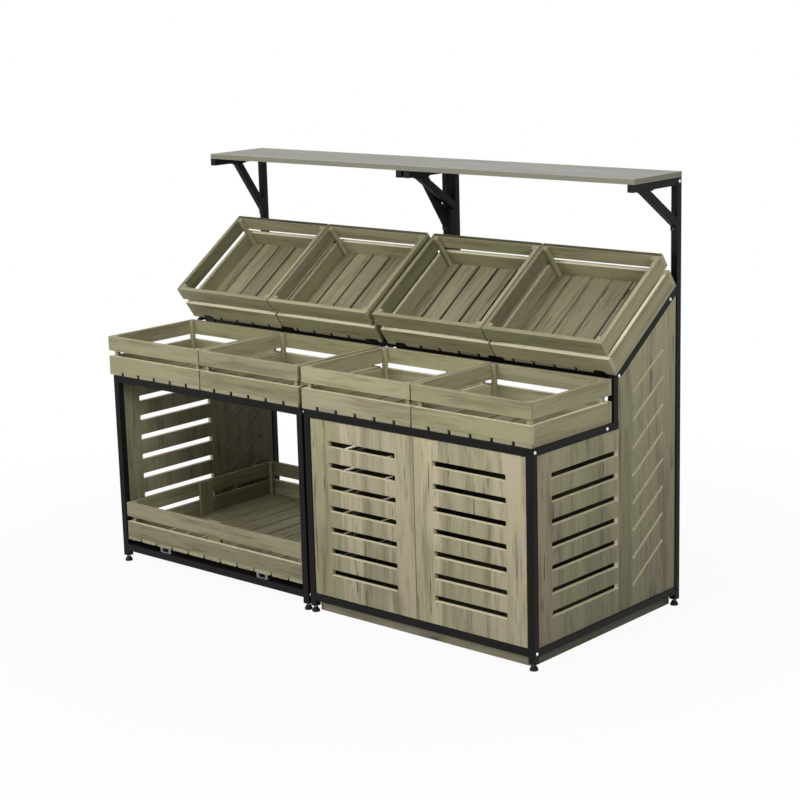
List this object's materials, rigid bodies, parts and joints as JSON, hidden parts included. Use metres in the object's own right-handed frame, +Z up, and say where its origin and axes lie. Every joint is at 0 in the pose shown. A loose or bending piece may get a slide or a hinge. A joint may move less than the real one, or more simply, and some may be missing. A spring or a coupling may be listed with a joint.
{
  "type": "produce display shelf",
  "caption": "Black tube-framed market display with slatted wooden crates in a flat and a tilted row, a shelf above, an open bay with a drawer, and a slotted-door cabinet.",
  "frame": {"origin": "floor level under the middle of the object's box", "axes": "+X to the right along the length of the display seen from the front, +Y from front to rear, +Z up"},
  "size_m": [1.9402, 0.8028, 1.4562],
  "materials": {
    "black_tube": "satin black powder coat",
    "bright_bolt": "zinc-plated",
    "dark_screw": "black oxide",
    "black_plastic": "moulded",
    "shelf_board": "wood-grain laminate",
    "panel_board": "wood-grain laminate",
    "crate_board": "wood-grain laminate",
    "slide_steel": "zinc-plated"
  },
  "bodies": {
    "frame": {"front_posts": "black_tube", "rear_posts": "black_tube", "step_posts": "black_tube", "bottom_side_rails": "black_tube", "seat_side_rails": "black_tube", "shelf_arms": "black_tube", "slope_rails": "black_tube", "shelf_braces": "black_tube", "front_seat_rails": "black_tube", "rear_seat_rails": "black_tube", "front_bottom_rails": "black_tube", "rear_bottom_rails": "black_tube", "step_rails": "black_tube", "upper_slope_rails": "black_tube", "top_rear_rails": "black_tube", "stop_tabs": "black_tube", "frame_bolts": "bright_bolt", "rail_end_blocks": "bright_bolt", "brace_screws": "dark_screw", "post_plugs": "black_plastic", "foot_stems": "bright_bolt", "foot_pads": "black_plastic", "tube_end_caps": "black_plastic", "unit_ties": "bright_bolt", "shelf_boards": "shelf_board", "front_side_panels": "panel_board", "rear_side_panels": "panel_board", "base_board": "panel_board", "back_board": "panel_board", "slide_channels": "slide_steel", "slide_bearers": "black_tube", "door_bushes": "black_plastic", "door_catch": "black_plastic"},
    "drawer": {"drawer_end_boards": "crate_board", "drawer_side_boards": "crate_board", "drawer_battens": "crate_board", "drawer_planks": "crate_board", "slide_runners": "slide_steel"},
    "left_slide": {"left_slide_middle": "slide_steel"},
    "right_slide": {"right_slide_middle": "slide_steel"},
    "left_door": {"left_door": "panel_board", "left_door_fittings": "slide_steel"},
    "right_door": {"right_door": "panel_board", "right_door_fittings": "slide_steel"},
    "front_crate_1": {"front_crate_1_walls": "crate_board", "front_crate_1_floor": "crate_board"},
    "front_crate_2": {"front_crate_2_walls": "crate_board", "front_crate_2_floor": "crate_board"},
    "front_crate_3": {"front_crate_3_walls": "crate_board", "front_crate_3_floor": "crate_board"},
    "front_crate_4": {"front_crate_4_walls": "crate_board", "front_crate_4_floor": "crate_board"},
    "tilted_crate_1": {"tilted_crate_1_walls": "crate_board", "tilted_crate_1_floor": "crate_board"},
    "tilted_crate_2": {"tilted_crate_2_walls": "crate_board", "tilted_crate_2_floor": "crate_board"},
    "tilted_crate_3": {"tilted_crate_3_walls": "crate_board", "tilted_crate_3_floor": "crate_board"},
    "tilted_crate_4": {"tilted_crate_4_walls": "crate_board", "tilted_crate_4_floor": "crate_board"}
  },
  "joints": [
    {"name": "drawer_slide", "type": "slide", "parent": "frame", "child": "drawer", "axis": [0, -1, 0], "range_m": [0, 0.6]},
    {"name": "left_slide_extend", "type": "slide", "parent": "frame", "child": "left_slide", "axis": [0, -1, 0], "range_m": [0, 0.3]},
    {"name": "right_slide_extend", "type": "slide", "parent": "frame", "child": "right_slide", "axis": [0, -1, 0], "range_m": [0, 0.3]},
    {"name": "left_door_swing", "type": "hinge", "parent": "frame", "child": "left_door", "pos_m": [0.0569, -0.39044, 0.372], "axis": [0, 0, -1], "range_deg": [0, 95]},
    {"name": "right_door_swing", "type": "hinge", "parent": "frame", "child": "right_door", "pos_m": [0.9269, -0.39044, 0.372], "axis": [0, 0, 1], "range_deg": [0, 95]},
    {"name": "front_crate_1_pull", "type": "slide", "parent": "frame", "child": "front_crate_1", "axis": [0, -1, 0], "range_m": [0, 0.2]},
    {"name": "front_crate_2_pull", "type": "slide", "parent": "frame", "child": "front_crate_2", "axis": [0, -1, 0], "range_m": [0, 0.2]},
    {"name": "front_crate_3_pull", "type": "slide", "parent": "frame", "child": "front_crate_3", "axis": [0, -1, 0], "range_m": [0, 0.2]},
    {"name": "front_crate_4_pull", "type": "slide", "parent": "frame", "child": "front_crate_4", "axis": [0, -1, 0], "range_m": [0, 0.2]},
    {"name": "tilted_crate_1_lift", "type": "slide", "parent": "frame", "child": "tilted_crate_1", "axis": [0, -0.5736, 0.8192], "range_m": [0, 0.2]},
    {"name": "tilted_crate_2_lift", "type": "slide", "parent": "frame", "child": "tilted_crate_2", "axis": [0, -0.5736, 0.8192], "range_m": [0, 0.2]},
    {"name": "tilted_crate_3_lift", "type": "slide", "parent": "frame", "child": "tilted_crate_3", "axis": [0, -0.5736, 0.8192], "range_m": [0, 0.2]},
    {"name": "tilted_crate_4_lift", "type": "slide", "parent": "frame", "child": "tilted_crate_4", "axis": [0, -0.5736, 0.8192], "range_m": [0, 0.2]}
  ],
  "couplings": [
    {"joint": "left_slide_extend", "follows": "drawer_slide", "ratio": 0.5},
    {"joint": "right_slide_extend", "follows": "drawer_slide", "ratio": 0.5}
  ]
}
